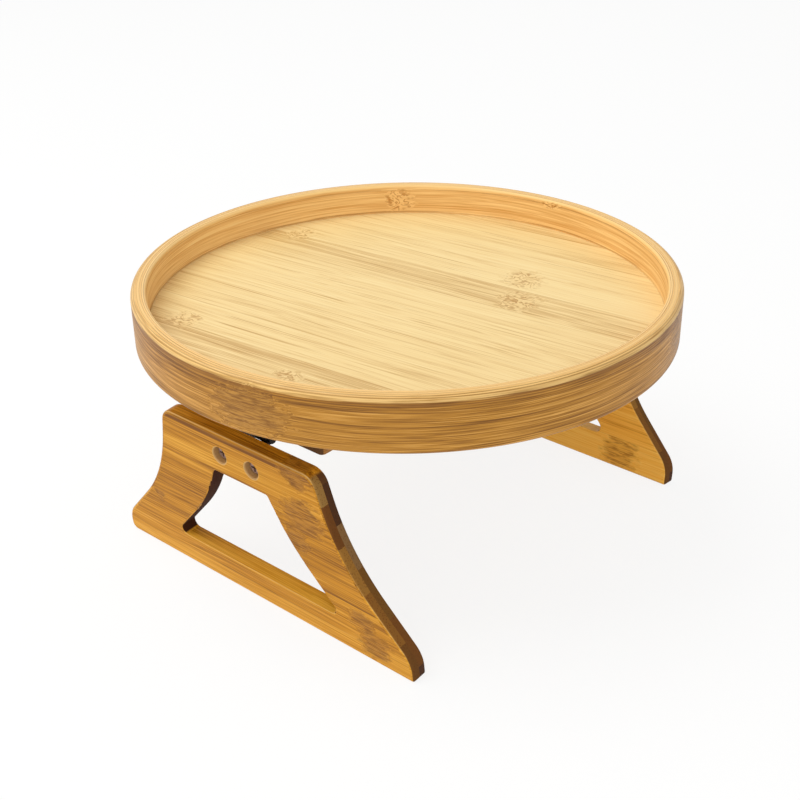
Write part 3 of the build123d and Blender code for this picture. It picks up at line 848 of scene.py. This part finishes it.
@dataclass
class BentHoop:
    """The tray's rim: three bamboo plies bent round and glued, with a rounded top."""

    radius: float = 125.0
    height: float = 25.2
    wall: float = 7.0
    plies: int = 3
    top_z: float = 126.849
    outer_round: float = 2.6
    inner_round: float = 1.6
    foot_round: float = 2.0
    glue_groove: float = 0.14
    crown: float = 3.0
    slack: float = 0.01
    steps: int = 288
    round_steps: int = 8

    def section(self) -> BMesh:
        """Draws the whole hoop's section on the XZ plane, with its corners rounded.

        Returns:
            A flat face in metres.
        """
        drawing = bmesh.new()
        low, high = self.top_z - self.height, self.top_z
        inner, outer = self.radius - self.wall, self.radius
        corners = [(inner, low), (outer, low), (outer, high), (inner, high)]
        points = [drawing.verts.new((x * MM, 0, z * MM)) for x, z in corners]
        drawing.faces.new(points)
        rounds = {1: self.foot_round, 2: self.outer_round, 3: self.inner_round}
        for place, size in rounds.items():
            bmesh.ops.bevel(drawing, geom=[points[place]], offset=size * MM, segments=self.round_steps,
                            profile=0.5, affect="VERTICES", material=-1)
        return drawing

    def ply(self, number: int) -> BMesh:
        """Cuts one ply out of the section and turns it round the tray's axis.

        Args:
            number: The ply, counted from the inside.

        Returns:
            The closed ring.
        """
        ring = self.section()
        thickness = self.wall / self.plies
        start = self.radius - self.wall + number * thickness
        for place, side in ((start, -1), (start + thickness, 1)):
            bmesh.ops.bisect_plane(ring, geom=list(ring.verts) + list(ring.edges) + list(ring.faces),
                                   plane_co=(place * MM, 0, 0), plane_no=(side, 0, 0), clear_outer=True)
        tip = max(v.co.z for v in ring.verts)
        glued = [place for place in (start, start + thickness)
                 if self.radius - self.wall < place - self.slack and place + self.slack < self.radius]
        corners = [v for v in ring.verts if v.co.z > tip - self.crown * MM
                   and any(abs(v.co.x - place * MM) < TOUCH for place in glued)]
        bmesh.ops.bevel(ring, geom=corners, offset=self.glue_groove * MM, segments=1, profile=0.5,
                        affect="VERTICES", material=-1)
        bmesh.ops.spin(ring, geom=list(ring.verts) + list(ring.edges) + list(ring.faces), cent=(0, 0, 0),
                       axis=(0, 0, 1), angle=math.tau, steps=self.steps, use_merge=True)
        inside = [f for f in ring.faces if len(f.verts) > 4]
        bmesh.ops.delete(ring, geom=inside, context="FACES_ONLY")
        bmesh.ops.remove_doubles(ring, verts=list(ring.verts), dist=TOUCH)
        bmesh.ops.recalc_face_normals(ring, faces=list(ring.faces))
        return ring

    def looks(self) -> dict[str, BentPly]:
        """The three plies' finishes, by the word that names each ply, from the inside out."""
        # Each ply is one strip, far wider than the hoop is tall.
        whole = {"strip_width": 400.0, "strip_start": -100.0}
        # The inside ply's tone is painted paler, for the light that bounces round inside the tray, and the
        # outside ply's darker, for the shade on the outer wall: painted light and shade over the plies' own
        # tones.
        inside = BentPly(
            "bamboo_ply_bent_lacquered_inside", GrainFrame.HOOP,
            GrainTone(light="#FCDC9C", base="#F8CD86", dark="#D49A4C", node="#B87C34", node_light="#F6CA82"),
            **whole, middle_angle=131.0, curl=CurlStyle.RINGED,
            top="#F0C880", top_line="#A06A2A", top_line_heights=(124.3, 111.9), top_line_share=0.8,
            ring_line_radii=(119.0, 119.9), specular=0.4, seed=1.0)
        core = BentPly(
            "bamboo_ply_bent_lacquered_core", GrainFrame.HOOP,
            GrainTone(light="#F4D08E", base="#EABD74", dark="#C89048", node="#9A6A30", node_light="#E0B06A"),
            **whole, middle_angle=70.0, top="#EABF78",
            ring_line_radii=(120.9, 122.2), top_line_share=0.9, seed=2.0)
        outside = BentPly(
            "bamboo_ply_bent_lacquered_outside", GrainFrame.HOOP,
            GrainTone(light="#DCA450", base="#B47C26", dark="#76480C", node="#80521A", node_light="#B48034"),
            **whole, middle_angle=-49.0, top_start=124.4,
            top_line_heights=(123.9, 122.9), ring_line_radii=(123.4, 124.2), fine_fibre=(32.0, 0.5),
            bundle_fibre=(40.0, 0.42), fine_contrast=1.35, broad_contrast=0.5, seed=3.0)
        marks = {
            "inner": (inside, ((132.4, 118.0, 9.0, 6.0), (91.0, 124.5, 7.0, 2.5), (10.0, 119.0, 8.0, 6.0),
                               (-105.0, 118.0, 9.0, 7.0))),
            "middle": (core, ()),
            "outer": (outside, ((-79.0, 113.0, 19.0, 11.0), (20.0, 115.0, 15.0, 9.0),
                                (108.0, 113.0, 18.0, 9.0), (-165.0, 114.0, 16.0, 9.0))),
        }
        return {word: replace(look, nodes=tuple(
            CaneNode(look.hoop_length(angle), *sizes) for angle, *sizes in spots))
            for word, (look, spots) in marks.items()}

    def build(self) -> None:
        """Builds and dresses the three plies."""
        for number, (word, look) in enumerate(self.looks().items()):
            piece = finished_piece(self.ply(number), f"hoop_ply_{word}", look.material(), 30.0)
            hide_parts(f"rim_{word}_ply")
            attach(piece, Body.TRAY.value)
            LOG.info("built %s with %d faces", piece.name, len(piece.data.polygons))


@dataclass
class HingeSpring:
    """A torsion spring of round wire: one arm on the leg, turns round the pin, one arm under the block."""

    side: Side
    centre_x: float = -1.0
    coil_radius: float = 2.35
    wire_radius: float = 0.5
    pitch: float = 1.55
    turns: int = 6
    lean_degrees: float = 6.0
    arm: float = 13.0
    steps_per_turn: int = 28
    wire_sides: int = 14

    @property
    def sweep(self) -> float:
        """The whole angle that the wire winds through."""
        return math.tau * self.turns + math.pi / 2 + math.radians(self.lean_degrees)

    @property
    def half_run(self) -> float:
        """Half the coil's length along the pin, in metres."""
        return self.pitch * self.sweep / math.tau / 2 * MM

    def wound(self) -> BMesh:
        """Winds the wire round the pin and draws out its two arms, for the near side.

        Returns:
            The closed wire in metres.
        """
        wire = bmesh.new()
        pin = Vector((self.centre_x * MM, -HINGE_Y * MM, HINGE_Z * MM))
        first = math.pi + math.radians(self.lean_degrees)
        spoke = Vector((0, math.cos(first), math.sin(first)))
        run = Vector((0, math.sin(first), -math.cos(first)))
        start = pin + spoke * self.coil_radius * MM - Vector((self.half_run, 0, 0))
        facing = run.to_track_quat("Z", "X").to_matrix().to_4x4()
        circle = bmesh.ops.create_circle(
            wire, cap_ends=True, segments=self.wire_sides, radius=self.wire_radius * MM,
            matrix=Matrix.Translation(start - run * self.arm * MM) @ facing)
        cap = list({f for v in circle["verts"] for f in v.link_faces})
        drawn = bmesh.ops.extrude_face_region(wire, geom=cap)
        top = [g for g in drawn["geom"] if isinstance(g, bmesh.types.BMVert)]
        bmesh.ops.translate(wire, verts=top, vec=run * self.arm * MM)
        end_face = [g for g in drawn["geom"] if isinstance(g, bmesh.types.BMFace)]
        steps = round(self.sweep / math.tau * self.steps_per_turn)
        rim = list({e for f in end_face for e in f.edges})
        wound = bmesh.ops.spin(wire, geom=end_face + rim + top, cent=pin, axis=(-1, 0, 0),
                               dvec=(2 * self.half_run / steps, 0, 0), angle=self.sweep, steps=steps)
        last = [g for g in wound["geom_last"] if isinstance(g, bmesh.types.BMFace)]
        drawn = bmesh.ops.extrude_face_region(wire, geom=last)
        top = [g for g in drawn["geom"] if isinstance(g, bmesh.types.BMVert)]
        bmesh.ops.translate(wire, verts=top, vec=Vector((0, self.arm * MM, 0)))
        return wire

    def build(self, material: Material) -> None:
        """Builds the spring in place of the imported one.

        Args:
            material: The wire's finish.
        """
        wire = self.wound()
        bmesh.ops.remove_doubles(wire, verts=list(wire.verts), dist=TOUCH)
        if self.side is Side.FAR:
            bmesh.ops.scale(wire, verts=list(wire.verts), vec=(1, -1, 1))
        inner = [f for f in wire.faces if len(f.verts) > 4 and all(len(e.link_faces) > 2 for e in f.edges)]
        bmesh.ops.delete(wire, geom=inner, context="FACES_ONLY")
        bmesh.ops.recalc_face_normals(wire, faces=list(wire.faces))
        piece = finished_piece(wire, f"{self.side.word}_coiled_spring", material)
        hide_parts(f"{self.side.word}_hinge_spring")
        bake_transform(piece)
        LOG.info("built %s with %d faces", piece.name, len(piece.data.polygons))


@dataclass
class TrayTop:
    """The round tray: its edge-glued floor with the bent hoop round it."""

    grain_turn: float = -6.0

    def build(self) -> None:
        """Dresses the floor and builds the hoop round it."""
        # Real bundles are 0.4 mm wide, and are drawn 1 mm wide so that they show from the camera.
        floor = LacqueredBamboo(
            "bamboo_strip_edge_glued_lacquered_floor", GrainFrame.BOARD,
            GrainTone(light="#F2DA9E", base="#EACC8D", dark="#B4853C", node="#B07E34", node_light="#EACB8C"),
            strip_width=23.0, strip_start=3.0, turn=(0, 0, math.radians(self.grain_turn)),
            nodes=(CaneNode(33.0, 50.6, 11.0, 11.0), CaneNode(43.5, 27.5, 11.0, 11.0),
                   CaneNode(-72.0, -73.0, 9.0, 8.0), CaneNode(3.0, -90.0, 7.0, 5.0),
                   CaneNode(-95.0, 40.0, 7.0, 8.0)),
            curl=CurlStyle.RINGED, node_strength=0.75, strip_contrast=0.14, fine_contrast=0.8,
            broad_contrast=0.35, bundle_fibre=(170.0, 1.0), drift_contrast=0.4, bundle_share=0.85,
            bundle_start=0.6, end_share=0.0, seed=4.0)
        dress(["tray_floor"], floor.material())
        BentHoop().build()


@dataclass
class ClipLeg:
    """One clip leg with its hinge leaf, screws and nuts."""

    side: Side
    lean_degrees: float = 6.0
    strip: float = 18.7
    top_seam: float = -13.6
    layer: float = 4.0
    layer_joint: float = 6.9
    ends: tuple[tuple[str, ...], ...] = (
        ("#94703A", "#6C421A", "#94682C", "#825622", "#6A441C"),
        ("#5A3A1E", "#4A2E1A", "#80603A", "#6E4A1E", "#6E441C", "#4E3222"))
    row_tones: tuple[float, ...] = (0.45, 0.3, 0.25, 0.55, 0.95, 0.95)
    wells: tuple[tuple[float, float], ...] = ((-10.75, -11.5), (8.75, -11.5))

    def build(self, metal: Material, oxide: Material) -> None:
        """Dresses the leg and its hardware.

        Args:
            metal: The finish of the nuts.
            oxide: The finish of the hinge's leaf.
        """
        word = self.side.word
        tilt = math.radians(self.lean_degrees) * self.side.value
        dress([f"{word}_leg"], self.board(tilt).material())
        # Passivated steel that was turned and left matt gives the heads a mauve-grey tone; their warm tan is
        # a painted reflection of the bamboo well round them.
        screw = WorkedMetal("steel_screw_head_passivated", colour="#C4A99C", dull="#86665C", roughness=0.55)
        dress([f"{word}_leg_screws"], screw.material())
        dress([f"{word}_leg_nuts"], metal)
        dress([f"{word}_moving_leaf"], oxide)

    def board(self, tilt: float) -> LacqueredBamboo:
        """The leg's finish: two layers of strips, glued edge to edge with their joints staggered.

        Args:
            tilt: How far the leg leans, in radians, with its side's sign.

        Returns:
            The finish.
        """
        near = self.side is Side.NEAR
        seams = [self.top_seam - self.strip * number for number in range(4)]
        limits = [BEYOND, *seams, -BEYOND]
        rows = list(zip(limits, limits[1:]))
        spots = ((35.0, -3.0, 9.0, 8.0, 0), (36.0, -24.5, 13.0, 12.0, 1), (31.0, -38.0, 8.0, 6.0, 2),
                 (70.0, -76.0, 10.0, 9.0, 4), (64.0, -66.0, 8.0, 6.0, 3), (-61.0, -52.0, 4.0, 6.0, 3))
        tone = GrainTone(
            light="#E2A63A", base="#C28218", dark="#7C4A0A", node="#7A4A10", node_light="#B47A28")
        if not near:
            spots = ((62.0, -78.0, 12.0, 12.0, 4), (-40.0, -30.0, 10.0, 9.0, 1), (16.0, -8.0, 8.0, 8.0, 0))
            # The far leg's paler tone is painted light, for light reaching its face in the shade under the
            # tray.
            tone = GrainTone(
                light="#FAC45C", base="#EEAA3E", dark="#B87418", node="#9A5E14", node_light="#DCA23E")
        nodes = tuple(CaneNode(*sizes, rows[row][1], rows[row][0]) for *sizes, row in spots)
        # The leg gets a painted highlight on its rounded edges and painted shade on the cut ends inside its
        # window.
        return DrilledBoard(
            f"bamboo_board_two_layer_lacquered_{self.side.word}_leg", GrainFrame.BOARD, tone,
            strip_width=self.strip, strip_start=self.top_seam, layer_thickness=self.layer,
            layer_start=-self.layer_joint * self.side.value, turn=(-(math.pi / 2 - tilt), 0, 0),
            centre=(0, self.side.value * HINGE_Y, HINGE_Z), nodes=nodes, node_strength=0.8,
            strip_contrast=0.4, fine_contrast=1.0, broad_contrast=0.6, drift_contrast=0.4, bundle_share=0.4,
            row_tones=self.row_tones, end_strips=self.ends, scorch_reach=27.6, edge_highlight_share=0.55,
            specular=0.14, wells=self.wells, seed=6.0 if near else 7.0)


@dataclass
class HingeBlock:
    """The block under the tray with both hinges' fixed halves, their springs and the tray's pivot."""

    def build(self, metal: Material, oxide: Material, wire: Material) -> None:
        """Dresses the block and its fittings, and winds the springs.

        Args:
            metal: The finish of the screws and the pivot.
            oxide: The finish of the hinges' leaves and pins.
            wire: The springs' finish.
        """
        # The block's dark tone is painted shade, for the shade under the tray; its rounded edges get a
        # painted highlight.
        board = LacqueredBamboo(
            "bamboo_board_lacquered_block", GrainFrame.BOARD,
            GrainTone(light="#C8913F", base="#AC7429", dark="#784A14", node="#6A3E10", node_light="#B88238"),
            strip_width=20.5, layer_thickness=5.4, turn=(0, 0, math.pi / 2), centre=(0, 0, 100.349),
            nodes=(CaneNode(-52.0, 12.0, 9.0, 9.0), CaneNode(38.0, -26.0, 9.0, 9.0),
                   CaneNode(70.0, 20.0, 8.0, 8.0)),
            edge_highlight_share=0.4, seed=9.0)
        dress(["crossbar"], board.material())
        # Moulded nylon gives the disc under the tray a dark matt face.
        dress(["glide_washer"], MouldedNylon("nylon_moulded_black").material())
        dress(["pivot_flat_washer", "pivot_bolt"], metal)
        dress(["pivot_spring_washer"], wire)
        # Turned brass gives the insert a warm yellow shine.
        dress(["pivot_insert"], WorkedMetal("brass_turned", colour="#C9A455").material())
        for side in Side:
            dress([f"{side.word}_{name}" for name in ("fixed_leaf", "hinge_pin")], oxide)
            dress([f"{side.word}_bar_screws"], metal)
            HingeSpring(side).build(wire)


@dataclass
class Studio:
    """Pale floor, soft lamps and the camera at the photograph's angle, in metres and degrees."""

    place: tuple[float, float, float] = (0.36236, -0.41823, 0.35507)
    azimuth: float = -48.689
    elevation: float = 28.149
    roll: float = -0.866
    lens: float = 58.5
    sensor: float = 36.0
    floor_half: float = 6.0
    ambient: float = 0.62
    floor_glow: float = 0.85
    softboxes: tuple[tuple[str, tuple[float, float, float], float, float], ...] = (
        ("key", (-0.6, -0.5, 1.55), 1.3, 16.5), ("fill", (0.9, -1.5, 0.6), 1.4, 8.0))
    lit_spot: tuple[float, float, float] = (0.0, 0.0, 0.08)

    def seen(self, tree: Tree) -> Node:
        """Finds the rays that only look at the surround: from the camera, a reflection or through glass.

        Args:
            tree: The node tree to add to.

        Returns:
            A node that gives one for such a ray and nothing for light that falls on the object.
        """
        path = add(tree, "LightPath")
        either = add(tree, "Math", {
            0: path.outputs["Is Camera Ray"], 1: path.outputs["Is Glossy Ray"]}, operation="MAXIMUM")
        return add(tree, "Math", {
            0: either, 1: path.outputs["Is Transmission Ray"]}, operation="MAXIMUM")

    def camera(self) -> None:
        """Sets the camera where the photograph was taken from."""
        data = bpy.data.cameras.new("photo_view")
        data.lens, data.sensor_width, data.sensor_fit = self.lens, self.sensor, "HORIZONTAL"
        data.clip_start, data.clip_end = 0.01, 50.0
        camera = bpy.data.objects.new("photo_view", data)
        camera.matrix_world = Matrix.Translation(self.place)
        for degrees, axis in ((self.azimuth + 90, "Z"), (90 - self.elevation, "X"), (self.roll, "Z")):
            camera.matrix_world @= Matrix.Rotation(math.radians(degrees), 4, axis)
        bpy.context.scene.collection.objects.link(camera)
        bpy.context.scene.camera = camera

    def floor(self) -> None:
        """Lays a plain pale floor under the legs."""
        sheet = bmesh.new()
        bmesh.ops.create_grid(sheet, x_segments=1, y_segments=1, size=self.floor_half)
        # Matt paper spreads the light evenly, so that the floor shows a soft shadow and no gloss.
        material, tree, shader = blank_material("paper_matt_white")
        source = add(tree, "TexCoord")
        cloud = add(tree, "TexNoise", {"Vector": source.outputs["Object"], "Scale": 300.0})
        rough = add(tree, "MapRange", {"Value": cloud, "To Min": 0.85, "To Max": 0.95})
        shader.inputs["Base Color"].default_value = linear("#F8F8F6")
        shader.inputs["Specular IOR Level"].default_value = 0.1
        tree.links.new(rough.outputs[0], shader.inputs["Roughness"])
        share = add(tree, "Math", {0: self.seen(tree), 1: self.floor_glow}, operation="MULTIPLY")
        glow = add(tree, "Emission", {"Color": linear("#FFFFFF"), "Strength": 1.0})
        mixed = add(tree, "MixShader", {0: share, 1: shader, 2: glow})
        output = next(node for node in tree.nodes if node.type == "OUTPUT_MATERIAL")
        tree.links.new(mixed.outputs[0], output.inputs["Surface"])
        floor = finished_piece(sheet, "studio_floor", material)

    def lamps(self) -> None:
        """Hangs two large soft lamps and sets a white surround."""
        for name, place, size, power in self.softboxes:
            data = bpy.data.lights.new(f"softbox_{name}", "AREA")
            data.shape, data.size, data.energy = "SQUARE", size, power
            lamp = bpy.data.objects.new(data.name, data)
            aim = Vector(self.lit_spot) - Vector(place)
            turn = aim.to_track_quat("-Z", "Y").to_matrix().to_4x4()
            lamp.matrix_world = Matrix.Translation(place) @ turn
            bpy.context.scene.collection.objects.link(lamp)
        world = bpy.data.worlds.new("white_surround")
        world.use_nodes = True
        tree = world.node_tree
        tree.nodes.clear()
        level = add(tree, "MapRange", {"Value": self.seen(tree), "To Min": self.ambient, "To Max": 1.0})
        glow = add(tree, "Background", {"Color": linear("#FFFFFF"), "Strength": level})
        add(tree, "OutputWorld", {"Surface": glow})
        bpy.context.scene.world = world

    def build(self) -> None:
        """Builds the whole studio."""
        self.camera()
        self.floor()
        self.lamps()
        bpy.context.scene.view_settings.view_transform = "Standard"


def main() -> None:
    """Builds every piece in order."""
    logging.basicConfig(level=logging.INFO, format="%(name)s: %(message)s")
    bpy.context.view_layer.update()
    # Zinc plating is bright and bluish, black oxide is dark and half matt, drawn wire is a plain grey.
    metal = WorkedMetal("steel_stamped_zinc_plated").material()
    # The hinges' black oxide also serves as painted shade: it darkens the bit of hinge seen in the gap under
    # the tray, where there is shade.
    oxide = WorkedMetal("steel_black_oxide", colour="#2C2624", dull="#1E1A18", roughness=0.45).material()
    wire = WorkedMetal("spring_steel_drawn_wire", colour="#6E6C6A", roughness=0.38).material()
    Studio().build()
    TrayTop().build()
    for side in Side:
        ClipLeg(side).build(metal, oxide)
    HingeBlock().build(metal, oxide, wire)


if __name__ == "__main__":
    main()
